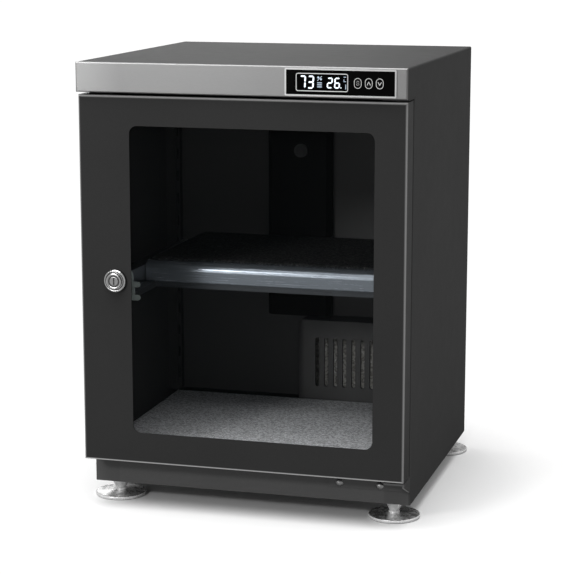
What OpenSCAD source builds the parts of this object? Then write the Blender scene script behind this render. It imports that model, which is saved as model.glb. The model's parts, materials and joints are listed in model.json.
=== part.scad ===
/* [Cabinet] */
// width of the cabinet over its side panels
cab_w = 330; // [290:5:420]
// depth from the header's front face to the rear edge of the sides
cab_d = 330; // [300:5:420]
// height over the header with the feet screwed in
cab_h = 450; // [430:5:640]
// thickness of the steel sheet
sheet_t = 1.2; // [0.9:0.1:1.6]
// radius of the sheet's outer bends
bend_r = 1.8; // [1.7:0.1:3]
// width of the frame round the front opening
flange_w = 26; // [24:1:34]
// depth of the lip turned in round the front opening
lip_d = 12; // [8:1:20]
// height of the plinth from its lower edge to the opening
plinth_h = 43.4; // [38:0.2:60]
// height of the rail over the front opening
rail_h = 26; // [20:1:40]
// height of the inner floor over the plinth's lower edge
floor_lift = 31; // [26:1:34]
// thickness of the base sheet
base_t = 1.5; // [1:0.1:3]
// how far the back panel lies in front of the rear edge
back_inset = 12; // [6:1:20]
// width of the flange at the sides' rear edge
rear_flange_w = 15; // [8:1:24]

/* [Header] */
// height of the header box
header_h = 29.3; // [27:0.1:45]
// thickness of the front fascia
fascia_t = 2; // [1.5:0.1:3]
// radius of the fascia's front edges
fascia_r = 1.2; // [0.6:0.1:1.8]
// depth of the fascia's turned edges behind its front
fascia_return = 9; // [5:1:16]

/* [Door] */
// thickness of the door over its back flange
door_t = 25; // [22:0.5:34]
// how far the door's face lies behind the header's face
door_setback = 4; // [0:0.5:8]
// gap between the door's back and the cabinet's face
door_gap = 6; // [5:0.5:8]
// gap between the header and the door's top edge
door_top_gap = 2.8; // [2.6:0.1:5]
// height of the door's lower edge over the plinth's lower edge
door_lift = 30.7; // [28:0.1:40]
// how much the door is narrower than the cabinet at each side
door_side_in = 0.25; // [0:0.05:1.5]
// radius of the door's front edges
door_edge_r = 3; // [1.8:0.1:6]
// width of the flange round the door's back
door_flange_w = 23; // [22.4:0.2:24]
// width of the door's border on the lock side
border_lock = 52.8; // [52:0.2:70]
// width of the door's border on the hinge side
border_hinge = 31.3; // [28:0.1:60]
// height of the door's border over the window
border_top = 29.3; // [26:0.1:60]
// height of the door's border under the window
border_low = 31.5; // [28:0.1:60]
// radius of the window's corners
window_r = 8; // [4:0.5:20]
// thickness of the glass
glass_t = 3.5; // [2.5:0.5:5]
// how far the glass laps behind the border
glass_lap = 5; // [3:0.5:6]
// width of the magnetic gasket
gasket_w = 11; // [8:0.5:11.5]
// distance from the door's edge to the gasket
gasket_in = 11; // [10.5:0.5:11.5]

/* [Hinge] */
// distance from the door's side edge to the pin's axis
pivot_in = 10; // [9:0.5:10.5]
// distance from the door's back face to the pin's axis
pivot_back = 12.5; // [11:0.5:14]
// radius of the hinge pins
pin_r = 3; // [2:0.25:3.5]
// running clearance round a pin or a turning shaft
pin_clear = 0.05; // [0.02:0.01:0.09]
// thickness of the lower bracket
leaf_t = 2; // [1.5:0.1:2.5]
// thickness of the upper bracket
top_leaf_t = 1.5; // [1.2:0.1:1.6]
// length of the lower bracket's plate on the plinth
plate_l = 82; // [70:1:110]
// height of the lower bracket's plate
plate_h = 15.5; // [13:0.5:20]
// length of the lower bracket's leaf under the door
leaf_l = 20.5; // [18:0.5:34]

/* [Lock] */
// distance from the door's side edge to the lock's axis
lock_in = 36.75; // [35:0.25:37.5]
// radius of the lock's chrome flange
lock_head_r = 11.5; // [10.5:0.25:14]
// height of the lock's flange on the door
lock_flange_h = 3.8; // [3:0.1:4.4]
// radius of the raised collar round the plug
lock_collar_r = 7.9; // [7.8:0.1:8.3]
// how far the lock's collar stands out of the door
lock_head_h = 7; // [6:0.5:9]
// radius of the lock's threaded body
lock_body_r = 8.5; // [8:0.25:9]
// length of the lock's body behind the door's front sheet
lock_body_l = 18; // [14:0.5:19]
// radius of the plug's face
plug_face_r = 6.6; // [6.4:0.1:6.8]
// radius of the plug's shaft
plug_r = 6; // [4.5:0.25:6]
// reach of the cam from the lock's axis
cam_l = 26; // [24:0.5:30]
// width of the cam
cam_w = 14; // [12:0.5:15]
// thickness of the cam
cam_t = 2; // [1.5:0.1:2.5]

/* [Shelf] */
// number of pilaster slots under the one that carries the shelf
slots_below_count = 6; // [4:1:8]
// distance between the pilaster slots
slot_pitch = 25; // [20:1:30]
// distance from the cabinet's front face to the shelf's lip
shelf_back = 80; // [75:1:110]
// gap between the shelf tray and the duct cover behind it
tray_rear_gap = 1.8; // [1.2:0.2:30]
// height of the tray's rolled front lip
lip_h = 21.5; // [19:0.5:24]
// radius of the lip's upper edge
lip_r = 9.5; // [8:0.5:10.5]
// thickness of the shelf's steel
tray_t = 1.2; // [1:0.1:1.6]
// side clearance of the tray between its runners
tray_side_gap = 1; // [0.5:0.1:1.2]
// thickness of the shelf's mat
shelf_mat_t = 2.5; // [1.5:0.5:4]
// thickness of the floor's foam mat
floor_mat_t = 6; // [4:0.5:7]

/* [Feet] */
// height of the feet under the plinth
foot_h = 18.6; // [17:0.2:26]
// radius of a foot's disc
disc_r = 26; // [22:0.5:32]
// distance from the cabinet's faces to a foot's axis
foot_in = 20; // [19:0.5:30]
// radius of a foot's threaded stud
stud_r = 4; // [3:0.5:5]
// height of a foot's disc at its rim
disc_rim_h = 3.6; // [3:0.2:5]
// upper radius of the cone over the disc
cone_top_r = 9.6; // [8:0.2:11]
// lower radius of the cone over the disc
cone_low_r = 4.8; // [4.4:0.1:6]
// longest travel of a foot
foot_travel = 8; // [4:1:10]

/* [Display] */
// width of the display panel's frame
panel_w = 108; // [104:1:130]
// height of the display panel's frame
panel_h = 26.2; // [24.4:0.2:28]
// distance from the cabinet's side to the display panel
panel_side = 10.2; // [8:0.2:30]
// width of the frame's border
bezel_w = 1.5; // [1:0.1:2]
// how far the frame stands out of the fascia
bezel_t = 1.2; // [0.8:0.1:1.6]
// width of the readout's window
lcd_w = 49.6; // [44:0.2:52]
// height of the readout's window
lcd_h = 16; // [12:0.5:18]
// distance from the panel's side to the readout
lcd_side = 11.5; // [8:0.5:14]
// width of a key
key_w = 7.2; // [6:0.2:7.6]
// height of a key
key_h = 9.8; // [8:0.2:12]
// distance between the keys
key_pitch = 10.5; // [10.2:0.1:11.5]
// how far a key stands out of the panel
key_out = 0.7; // [0.5:0.1:1.2]
// travel of a key
key_travel = 0.4; // [0.2:0.05:0.5]

/* [Drying unit] */
// width of the drying unit's housing
dryer_w = 120; // [104:2:140]
// height of the drying unit's housing
dryer_h = 95; // [85:1:110]
// depth of the drying unit's housing
dryer_d = 32; // [26:1:40]
// distance from the cabinet's middle to the housing's left side
dryer_left = 19; // [10:1:40]
// radius of the housing's upper corners
dryer_r = 9; // [5:0.5:14]
// wall of the housing and of the rear cover
dryer_wall = 2; // [1.6:0.1:2.6]
// number of vent slots side by side
vent_count = 8; // [5:1:8]
// width of a vent slot
vent_w = 4.6; // [3:0.2:5.2]
// distance between the vent slots
vent_pitch = 10.4; // [10:0.2:10.8]
// height of a vent slot
vent_h = 56; // [40:2:60]
// thickness of a shutter plate
shutter_t = 1.5; // [1.2:0.1:2]
// depth of the rear cover
rear_cover_d = 20; // [18:1:30]
// width of the duct cover on the back panel
duct_w = 73; // [50:1:90]
// depth of the duct cover
duct_d = 12; // [8:1:16]
// distance from the cabinet's middle to the duct cover's left side
duct_left = 59; // [40:1:80]
// radius of the sensor's cap
sensor_r = 7.5; // [6:0.5:10]

/* [Hidden] */
$fn = 64;

// overrun of every cut, and the gap that seats one piece beside another
cut = 0.5;
seat_gap = 0.3;

// the frame of the whole part: the middle of its box stands at the origin
lock_out = lock_head_h - door_setback;
rear_reach = rear_cover_d - back_inset;
front_y = (lock_out - cab_d - rear_reach) / 2;

// levels and planes of the cabinet
half_w = cab_w / 2;
face_y = door_setback + door_t + door_gap;
plinth_z = foot_h;
open_x = half_w - flange_w;
open_low_z = plinth_z + plinth_h;
roof_z = cab_h - header_h;
open_top_z = roof_z - rail_h;
inner_x = half_w - sheet_t;
back_y = cab_d - back_inset;
back_in_y = back_y - sheet_t;
floor_z = plinth_z + floor_lift;
floor_top = floor_z + sheet_t;
mat_edge = 3;

// the door
door_half = half_w - door_side_in;
door_low_z = plinth_z + door_lift;
door_top_z = roof_z - door_top_gap;
door_back_y = door_setback + door_t;
win_x0 = border_lock - door_half;
win_x1 = door_half - border_hinge;
win_z0 = door_low_z + border_low;
win_z1 = door_top_z - border_top;
glass_y0 = door_setback + sheet_t;
glass_y1 = glass_y0 + glass_t;
gasket_base_t = 2;
gasket_bulb_in = 1.6;
gasket_face_y = face_y - seat_gap;
clip_w = 12;
clip_foot = 6;
clip_lap = 3;
clip_t = 1;
clip_inset_share = 0.2;

// the hinge
pivot_x = door_half - pivot_in;
pivot_y = door_back_y - pivot_back;
bush_r = 5;
bush_flange_r = 6.5;
bush_flange_t = 1;
bush_l = 11;
bush_gap = 0.1;
pin_l = 11;
leaf_top_z = door_low_z - bush_flange_t - bush_gap;
leaf_front = 7;
gusset_t = 2;
top_leaf_z = roof_z - top_leaf_t;
top_leaf_w = 26;
top_leaf_front = 9;
top_bush_t = door_top_gap - top_leaf_t - bush_gap;
screw_r = 4.2;
screw_dome_h = 2.6;
screw_shank_r = 2;
screw_shank_l = 6;
screw_far = 71;
screw_near = 29.8;
screw_drop = 11;

// the lock
lock_x = lock_in - door_half;
lock_rise = 1.2;
lock_z = (door_low_z + door_top_z) / 2 + lock_rise;
lock_y0 = door_setback - lock_head_h;
lock_lip_r = 1.6;
collar_edge_r = 0.6;
groove_w = 1.4;
groove_d = 1;
plug_recess = 1.2;
plug_face_t = 3;
lock_rear_y = glass_y0 + lock_body_l;
nut_t = 4;
nut_flat_r = 11;
cam_hub_r = 11;
cam_clear_y = 1.4;
cam_tip_y = face_y + sheet_t + cam_clear_y;
cam_gap = 0.4;
cam_hub_y = lock_rear_y + cam_gap;
cam_crank_z = 3.6;
cam_prong = 6;
cam_prong_h = 5.4;
cam_screw_r = 4;
cam_screw_t = 2.2;
key_slot_w = 1.4;
key_slot_h = 7.6;
key_slot_d = 6;
strike_z = 4;
strike_y = 3;

// the shelf
pil_w = 14;
pil_front_in = 27;
pil_rear_in = 43;
pil_d = 11.8;
pil_x = inner_x - pil_d;
pil_low_z = open_low_z;
pil_top_z = roof_z - sheet_t;
slot_w = 4.2;
slot_h = 12;
slot_edge = 11.6;
slot_count = floor((pil_top_z - pil_low_z - slot_edge - slot_h) / slot_pitch) + 1;
hook_z = pil_low_z + slot_edge + slots_below_count * slot_pitch;
pil_front_y = face_y + pil_front_in;
pil_rear_y = back_in_y - pil_rear_in - pil_w;
runner_x1 = pil_x - 2 * seat_gap;
tray_pass = 2.5;
tray_x = open_x - tray_pass;
runner_x0 = tray_x + tray_side_gap;
runner_h = 23.5;
hook_rise = 15.5;
runner_z0 = hook_z - hook_rise;
ledge_w = 11.5;
ledge_h = 5.8;
ledge_z = runner_z0 + ledge_h;
runner_over = 4;
runner_y0 = pil_front_y - runner_over;
runner_y1 = pil_rear_y + pil_w + runner_over;
bar_w = 12;
bar_back = 3;
hook_t = 3;
hook_h = 6;
hook_drop = 7;
hook_tooth = 3;
lip_y = face_y + shelf_back;
lip_d_tray = 12;
tray_low_z = ledge_z + seat_gap;
tray_top_z = tray_low_z + lip_h;
tray_back_y = back_in_y - duct_d - tray_rear_gap;
tray_rib_h = 8;

// the feet
foot_x = half_w - foot_in;
foot_front_y = face_y + foot_in;
foot_rear_y = cab_d - foot_in;
insert_r = 6.6;
thread_hold = 8;
insert_h = foot_travel + thread_hold;
stud_clear = 0.1;
stud_top_z = plinth_z + base_t + insert_h - stud_clear;
cone_gap = 0.2;
disc_dome_h = 1.6;
nub_h = 1.8;
nub_r = 5.6;
cone_low_z = disc_rim_h + disc_dome_h + nub_h;
disc_lip_r = 1.2;

// the display
panel_x = half_w - panel_side - panel_w / 2;
panel_z = roof_z + header_h / 2;
panel_t = 0.9;
panel_inner_w = panel_w - 2 * bezel_w;
panel_inner_h = panel_h - 2 * bezel_w;
panel_rim = 0.8;
fit_gap = 0.12;
lcd_x = panel_x - panel_w / 2 + lcd_side + lcd_w / 2;
lcd_r = 2;
lcd_sink = 0.4;
lcd_t = 4.6;
board_y = 12;
board_t = 1.6;
board_in = 3;
key_side = 15.9;
key_mid_x = half_w - panel_side - key_side - key_pitch;
key_flange = 0.7;
key_flange_t = 1;
key_stem_r = 1.8;
switch_w = 6;
switch_t = 3.2;
key_gap = 0.15;

// the drying unit
dryer_x0 = -dryer_left;
dryer_x1 = dryer_w - dryer_left;
dryer_x = (dryer_x0 + dryer_x1) / 2;
dryer_z0 = floor_top;
dryer_z1 = floor_top + dryer_h;
dryer_z = (dryer_z0 + dryer_z1) / 2;
dryer_y0 = back_in_y - dryer_d;
vent_span = (vent_count - 1) * vent_pitch + vent_w;
plate_side = 5;
shutter_w = vent_span + 2 * plate_side;
shutter_h = vent_h + 2 * plate_side;
shutter_travel = vent_pitch / 2;
guide_t = 2;
guide_d = shutter_t + 2 * seat_gap;
guide_lip_t = 1;
guide_lip_h = 3;
core_d = 14;
port_in = 9;
cover_in = 4;
cover_r = 5;
cover_screw_r = 2.6;
cover_screw_t = 1.4;
duct_x = duct_w / 2 - duct_left;
duct_top_in = 18;
duct_chamfer = 5;
duct_wall = 1.4;
sensor_x = -20;
sensor_drop = 66;
sensor_t = 3.6;
sensor_slot_r = 4.6;
sensor_slot_w = 1;

// the socket at the rear
dc_in = 44;
dc_r = 4.6;
dc_flange_r = 6.4;
dc_flange_t = 1.4;
dc_l = 11;
dc_bore_r = 2.8;
dc_pin_r = 1;
dc_depth = 9;

// colours of the views
paint_c = [0.24, 0.24, 0.25];
silver_c = [0.74, 0.75, 0.77];
chrome_c = [0.85, 0.86, 0.88];
black_c = [0.08, 0.08, 0.09];
glass_c = [0.6, 0.75, 0.8, 0.35];
lip_c = [0.55, 0.6, 0.66];
foam_c = [0.45, 0.46, 0.48];
board_c = [0.1, 0.35, 0.2];

// helpers
// points of a rounding of radius r about (u, v), from angle a0 to a1
arc_steps = 6;
function arc(u, v, r, a0, a1) = [for (k = [0 : arc_steps])
    let (a = a0 + (a1 - a0) * k / arc_steps) [u + r * cos(a), v + r * sin(a)]];

module place() {
    translate([0, front_y, 0])
        children();
}

module slab(x0, x1, y0, y1, z0, z1) {
    translate([x0, y0, z0])
        cube([x1 - x0, y1 - y0, z1 - z0]);
}

module along_x(x0, x1) {
    translate([x0, 0, 0])
        rotate([90, 0, 90])
            linear_extrude(x1 - x0)
                children();
}

module along_y(y0, y1) {
    translate([0, y1, 0])
        rotate([90, 0, 0])
            linear_extrude(y1 - y0)
                children();
}

module along_z(z0, z1) {
    translate([0, 0, z0])
        linear_extrude(z1 - z0)
            children();
}

module rod_y(x, z, y0, y1, r) {
    translate([x, y0, z])
        rotate([-90, 0, 0])
            cylinder(h = y1 - y0, r = r);
}

module rod_z(x, y, z0, z1, r) {
    translate([x, y, z0])
        cylinder(h = z1 - z0, r = r);
}

module spin_y(x, y, z) {
    translate([x, y, z])
        rotate([-90, 0, 0])
            rotate_extrude()
                children();
}

module round_rect(w, h, r) {
    square([w - 2 * r, h], center = true);
    square([w, h - 2 * r], center = true);
    for (sx = [-1, 1])
        for (sy = [-1, 1])
            translate([sx * (w / 2 - r), sy * (h / 2 - r)])
                circle(r = r);
}

module ring_rect(w, h, r, wall) {
    difference() {
        round_rect(w, h, r);
        round_rect(w - 2 * wall, h - 2 * wall, max(r - wall, wall / 4));
    }
}

// a profile of width w along u and depth t along v, its two corners at v = 0 rounded
module front_round(w, t, r) {
    translate([-w / 2, r])
        square([w, t - r]);
    translate([r - w / 2, 0])
        square([w - 2 * r, t]);
    for (s = [-1, 1])
        translate([s * (w / 2 - r), r])
            circle(r = r);
}

// a block on its back face whose four front edges are rounded
module soft_block(w, z0, z1, y0, y1, r) {
    intersection() {
        along_z(z0, z1)
            translate([0, y0])
                front_round(w, y1 - y0, r);
        along_x(-w / 2, w / 2)
            translate([y0, (z0 + z1) / 2])
                rotate([0, 0, -90])
                    front_round(z1 - z0, y1 - y0, r);
    }
}

// body
// plan of a side panel: skin, front flange with its lip, rear flange
module side_plan() {
    difference() {
        translate([0, face_y])
            union() {
                translate([open_x, 0])
                    square([flange_w - bend_r, cab_d - face_y]);
                translate([open_x, bend_r])
                    square([flange_w, cab_d - face_y - 2 * bend_r]);
                translate([half_w - bend_r, bend_r])
                    circle(r = bend_r);
                translate([half_w - bend_r, cab_d - face_y - bend_r])
                    circle(r = bend_r);
            }
        translate([open_x - cut, face_y + sheet_t])
            square([flange_w - sheet_t + cut, cab_d - face_y - 2 * sheet_t]);
        translate([open_x - cut, back_y])
            square([flange_w - rear_flange_w + cut, cab_d - back_y + cut]);
    }
    translate([open_x, face_y])
        square([sheet_t, lip_d]);
}

module side_panel() {
    along_z(plinth_z, roof_z)
        side_plan();
}

module side_right() {
    color(paint_c)
        place()
            difference() {
                side_panel();
                lip_relief();
            }
}

// the lip runs only beside the opening
module lip_relief() {
    slab(open_x - cut, inner_x, face_y + sheet_t, face_y + lip_d + cut, plinth_z - cut, open_low_z - sheet_t);
    slab(open_x - cut, inner_x, face_y + sheet_t, face_y + lip_d + cut, open_top_z + sheet_t, roof_z + cut);
}

module side_left() {
    color(paint_c)
        place()
            difference() {
                mirror([1, 0, 0])
                    side_panel();
                mirror([1, 0, 0])
                    lip_relief();
                slab(-open_x - sheet_t - cut, -open_x + cut, face_y + sheet_t, cam_tip_y + cam_t + strike_y,
                    lock_z - cam_l - strike_z, lock_z + cam_w / 2 + strike_z);
            }
}

module top_rail() {
    color(paint_c)
        place() {
            slab(-open_x, open_x, face_y, face_y + sheet_t, open_top_z, roof_z);
            slab(-open_x, open_x, face_y, face_y + lip_d, open_top_z, open_top_z + sheet_t);
        }
}

module plinth_panel() {
    color(paint_c)
        place()
            difference() {
                union() {
                    slab(-open_x, open_x, face_y, face_y + sheet_t, plinth_z, open_low_z);
                    slab(-open_x, open_x, face_y, face_y + lip_d, open_low_z - sheet_t, open_low_z);
                }
                screw_holes();
            }
}

module floor_pan() {
    color(paint_c)
        place()
            slab(-inner_x, inner_x, face_y + sheet_t, back_in_y, floor_z, floor_top);
}

module ceiling_pan() {
    color(paint_c)
        place()
            slab(-inner_x, inner_x, face_y + sheet_t, back_in_y, roof_z - sheet_t, roof_z);
}

module back_panel() {
    color(paint_c)
        place()
            difference() {
                union() {
                    slab(-inner_x, inner_x, back_in_y, back_y, plinth_z + base_t, roof_z);
                    for (s = [-1, 1])
                        slab(s * (inner_x - sheet_t / 2) - sheet_t / 2,
                            s * (inner_x - sheet_t / 2) + sheet_t / 2,
                            back_in_y, back_y + back_inset - bend_r - sheet_t, plinth_z + base_t, roof_z);
                }
                along_y(back_in_y - cut, back_y + cut)
                    translate([dryer_x, dryer_z])
                        round_rect(dryer_w - 2 * port_in, dryer_h - 2 * port_in, cover_r);
            }
}

module base_pan() {
    color(paint_c)
        place()
            difference() {
                slab(-inner_x, inner_x, face_y + sheet_t, cab_d - sheet_t, plinth_z, plinth_z + base_t);
                for (s = [-1, 1])
                    for (y = [foot_front_y, foot_rear_y])
                        rod_z(s * foot_x, y, plinth_z - cut, plinth_z + base_t + cut, stud_r + stud_clear);
            }
}

module foot_inserts() {
    color(silver_c)
        place()
            for (s = [-1, 1])
                for (y = [foot_front_y, foot_rear_y])
                    difference() {
                        rod_z(s * foot_x, y, plinth_z + base_t, plinth_z + base_t + insert_h, insert_r);
                        rod_z(s * foot_x, y, plinth_z, plinth_z + base_t + insert_h + cut,
                            stud_r + pin_clear);
                    }
}

// header
module header_base() {
    color(paint_c)
        place()
            slab(-inner_x, inner_x, fascia_t, cab_d - sheet_t, roof_z, roof_z + sheet_t);
}

module header_cover() {
    color(paint_c)
        place()
            difference() {
                translate([0, cab_d, 0])
                    mirror([0, 1, 0])
                        soft_cover();
                slab(-inner_x, inner_x, fascia_t - cut, cab_d - sheet_t, roof_z - cut, cab_h - sheet_t);
                dc_hole();
            }
}

// the header's outer form, rounded along its rear and top edges
module soft_cover() {
    intersection() {
        along_z(roof_z, cab_h)
            front_round(cab_w, cab_d - fascia_t, bend_r);
        along_y(0, cab_d - fascia_t)
            translate([0, cab_h])
                mirror([0, 1])
                    front_round(cab_w, header_h, bend_r);
    }
}

module fascia() {
    color(silver_c)
        place()
            difference() {
                soft_block(cab_w, roof_z, cab_h, 0, fascia_t, fascia_r);
                along_y(-cut, fascia_t + cut)
                    translate([panel_x, panel_z])
                        square([panel_inner_w - 2 * panel_rim, panel_inner_h - 2 * panel_rim], center = true);
            }
    color(silver_c)
        place()
            for (z = [roof_z + sheet_t, cab_h - 2 * sheet_t])
                slab(-inner_x, inner_x, fascia_t, fascia_t + fascia_return, z, z + sheet_t);
}

module display_bezel() {
    color(silver_c)
        place()
            along_y(-bezel_t, 0)
                translate([panel_x, panel_z])
                    ring_rect(panel_w, panel_h, bezel_w, bezel_w);
}

module key_outline(grow) {
    round_rect(key_w + 2 * grow, key_h + 2 * grow, key_w / 2 + grow - pin_clear);
}

module display_panel() {
    color(black_c)
        place()
            along_y(-panel_t, 0)
                difference() {
                    translate([panel_x, panel_z])
                        square([panel_inner_w, panel_inner_h], center = true);
                    translate([lcd_x, panel_z])
                        round_rect(lcd_w, lcd_h, lcd_r);
                    for (k = [-1, 0, 1])
                        translate([key_mid_x + k * key_pitch, panel_z])
                            key_outline(key_gap);
                }
}

module lcd_module() {
    color([0.2, 0.22, 0.24])
        place() {
            along_y(-lcd_sink, lcd_t)
                translate([lcd_x, panel_z])
                    round_rect(lcd_w - 2 * fit_gap, lcd_h - 2 * fit_gap, lcd_r);
            slab(lcd_x - lcd_w / 2, lcd_x + lcd_w / 2, lcd_t, board_y, panel_z - lcd_h / 2,
                panel_z + lcd_h / 2);
        }
}

module control_board() {
    color(board_c)
        place() {
            slab(panel_x - panel_w / 2, panel_x + panel_w / 2, board_y, board_y + board_t,
                roof_z + board_in, cab_h - board_in);
            for (s = [-1, 1])
                slab(panel_x + s * (panel_w / 2 - board_in / 2) - board_in / 2,
                    panel_x + s * (panel_w / 2 - board_in / 2) + board_in / 2,
                    fascia_t, board_y, panel_z - board_in, panel_z + board_in);
            for (k = [-1, 0, 1])
                slab(key_mid_x + k * key_pitch - switch_w / 2, key_mid_x + k * key_pitch + switch_w / 2,
                    board_y - switch_t, board_y, panel_z - switch_w / 2, panel_z + switch_w / 2);
        }
}

module key(k) {
    x = key_mid_x + k * key_pitch;
    color(silver_c)
        place() {
            along_y(-panel_t - key_out, seat_gap)
                translate([x, panel_z])
                    key_outline(0);
            along_y(seat_gap, seat_gap + key_flange_t)
                translate([x, panel_z])
                    key_outline(key_flange);
            rod_y(x, panel_z, seat_gap + key_flange_t, board_y - switch_t - key_travel - seat_gap / 2,
                key_stem_r);
        }
}

module key_set() {
    key(-1);
}

module key_up() {
    key(0);
}

module key_down() {
    key(1);
}

// hinges
module screw_holes() {
    for (dx = [screw_far, screw_near])
        rod_y(half_w - dx, leaf_top_z - screw_drop, face_y - leaf_t - cut, face_y + sheet_t + cut,
            screw_shank_r + pin_clear);
}

module hinge_lower() {
    plate_x0 = half_w - plate_l;
    color(paint_c)
        place()
            difference() {
                union() {
                    slab(plate_x0, half_w, face_y - leaf_t, face_y, leaf_top_z - plate_h, leaf_top_z);
                    slab(half_w - leaf_l, half_w, leaf_front, face_y - leaf_t, leaf_top_z - leaf_t,
                        leaf_top_z);
                    along_x(half_w - gusset_t, half_w)
                        polygon([[leaf_front, leaf_top_z], [face_y, leaf_top_z],
                            [face_y, leaf_top_z - plate_h], [face_y - leaf_t, leaf_top_z - plate_h],
                            [leaf_front, leaf_top_z - 2 * leaf_t]]);
                    rod_z(pivot_x, pivot_y, leaf_top_z - leaf_t, leaf_top_z + pin_l, pin_r);
                }
                screw_holes();
            }
}

module hinge_upper() {
    color(paint_c)
        place() {
            slab(half_w - door_side_in - top_leaf_w, half_w - door_side_in, top_leaf_front, face_y - seat_gap,
                top_leaf_z, roof_z);
            rod_z(pivot_x, pivot_y, top_leaf_z - pin_l, roof_z, pin_r);
        }
}

module dome_screw(x, z, y, r, dome, shank_r, shank_l) {
    spin_y(x, y, z)
        intersection() {
            translate([0, r * r / (2 * dome) - dome / 2])
                circle(r = r * r / (2 * dome) + dome / 2);
            translate([0, -dome])
                square([r, dome]);
        }
    rod_y(x, z, y, y + shank_l, shank_r);
}

module hinge_screws() {
    color(chrome_c)
        place()
            for (dx = [screw_far, screw_near])
                dome_screw(half_w - dx, leaf_top_z - screw_drop, face_y - leaf_t, screw_r, screw_dome_h,
                    screw_shank_r, leaf_t + sheet_t + screw_shank_l);
}

// door
module door_skin() {
    color(paint_c)
        place()
            difference() {
                soft_block(2 * door_half, door_low_z, door_top_z, door_setback, door_back_y, door_edge_r);
                soft_block(2 * (door_half - sheet_t), door_low_z + sheet_t, door_top_z - sheet_t, glass_y0,
                    door_back_y - sheet_t, door_edge_r - sheet_t);
                slab(door_flange_w - door_half, door_half - door_flange_w, door_back_y - sheet_t - cut,
                    door_back_y + cut, door_low_z + door_flange_w, door_top_z - door_flange_w);
                along_y(door_setback - cut, glass_y0 + cut)
                    translate([(win_x0 + win_x1) / 2, (win_z0 + win_z1) / 2])
                        round_rect(win_x1 - win_x0, win_z1 - win_z0, window_r);
                rod_y(lock_x, lock_z, door_setback - cut, glass_y0 + cut, lock_body_r + pin_clear);
                rod_z(pivot_x, pivot_y, door_low_z - cut, door_low_z + sheet_t + cut, bush_r + pin_clear);
                rod_z(pivot_x, pivot_y, door_top_z - sheet_t - cut, door_top_z + cut, bush_r + pin_clear);
            }
}

module door_glass() {
    color(glass_c)
        place()
            along_y(glass_y0, glass_y1)
                translate([(win_x0 + win_x1) / 2, (win_z0 + win_z1) / 2])
                    round_rect(win_x1 - win_x0 + 2 * glass_lap, win_z1 - win_z0 + 2 * glass_lap, glass_lap);
}

// one Z-shaped clip: foot on the sheet, tongue over the glass; u points to the glass
module glass_clip() {
    along_x(-clip_w / 2, clip_w / 2) {
        translate([glass_y0, -clip_foot - clip_t])
            square([clip_t, clip_foot]);
        translate([glass_y0, -clip_t - seat_gap])
            square([glass_t + clip_t, clip_t]);
        translate([glass_y1, -clip_t - seat_gap])
            square([clip_t, clip_t + clip_lap + seat_gap]);
    }
}

module glass_clips() {
    color(silver_c)
        place() {
            for (s = [clip_inset_share, 1 - clip_inset_share]) {
                translate([win_x0 + s * (win_x1 - win_x0), 0, win_z0 - glass_lap])
                    glass_clip();
                translate([win_x0 + s * (win_x1 - win_x0), 0, win_z1 + glass_lap])
                    mirror([0, 0, 1])
                        glass_clip();
                translate([win_x1 + glass_lap, 0, win_z0 + s * (win_z1 - win_z0)])
                    rotate([0, -90, 0])
                        glass_clip();
                translate([win_x0 - glass_lap, 0, win_z0 + s * (win_z1 - win_z0)])
                    rotate([0, 90, 0])
                        glass_clip();
            }
        }
}

module gasket_ring(inset, wall, y0, y1) {
    along_y(y0, y1)
        translate([0, (door_low_z + door_top_z) / 2])
            ring_rect(2 * (door_half - gasket_in - inset), door_top_z - door_low_z - 2 * (gasket_in + inset),
                gasket_w - inset, wall);
}

module door_gasket() {
    color(black_c)
        place() {
            gasket_ring(0, gasket_w, door_back_y, door_back_y + gasket_base_t);
            gasket_ring(gasket_bulb_in, gasket_w - 2 * gasket_bulb_in, door_back_y + gasket_base_t,
                gasket_face_y);
        }
}

module door_bushes() {
    color(black_c)
        place() {
            difference() {
                union() {
                    rod_z(pivot_x, pivot_y, leaf_top_z + bush_gap, door_low_z, bush_flange_r);
                    rod_z(pivot_x, pivot_y, door_low_z, door_low_z + bush_l, bush_r);
                }
                rod_z(pivot_x, pivot_y, leaf_top_z, door_low_z + bush_l + cut, pin_r + pin_clear);
            }
            difference() {
                union() {
                    rod_z(pivot_x, pivot_y, door_top_z, door_top_z + top_bush_t, bush_flange_r);
                    rod_z(pivot_x, pivot_y, door_top_z - bush_l, door_top_z, bush_r);
                }
                rod_z(pivot_x, pivot_y, door_top_z - bush_l - cut, roof_z, pin_r + pin_clear);
            }
        }
}

// lock
// half profile of a disc of radius r and height h whose outer edge is rounded
module stepped_edge(r, h, edge_r) {
    translate([0, -h + edge_r])
        square([r, h - edge_r]);
    translate([0, -h])
        square([r - edge_r, h]);
    translate([r - edge_r, -h + edge_r])
        circle(r = edge_r);
}

module lock_barrel() {
    color(chrome_c)
        place()
            difference() {
                union() {
                    spin_y(lock_x, door_setback, lock_z) {
                        stepped_edge(lock_head_r, lock_flange_h, lock_lip_r);
                        stepped_edge(lock_collar_r, lock_head_h, collar_edge_r);
                    }
                    rod_y(lock_x, lock_z, door_setback, lock_rear_y, lock_body_r);
                }
                spin_y(lock_x, door_setback, lock_z)
                    translate([lock_collar_r, -lock_flange_h - cut])
                        square([groove_w, groove_d + cut]);
                rod_y(lock_x, lock_z, lock_y0 - cut, lock_y0 + plug_recess + plug_face_t,
                    plug_face_r + pin_clear);
                rod_y(lock_x, lock_z, lock_y0, lock_rear_y + cut, plug_r + pin_clear);
            }
}

module lock_nut() {
    color(chrome_c)
        place()
            difference() {
                translate([lock_x, glass_y0, lock_z])
                    rotate([-90, 30, 0])
                        cylinder(h = nut_t, r = nut_flat_r, $fn = 6);
                rod_y(lock_x, lock_z, glass_y0 - cut, glass_y0 + nut_t + cut, lock_body_r + pin_clear);
            }
}

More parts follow.
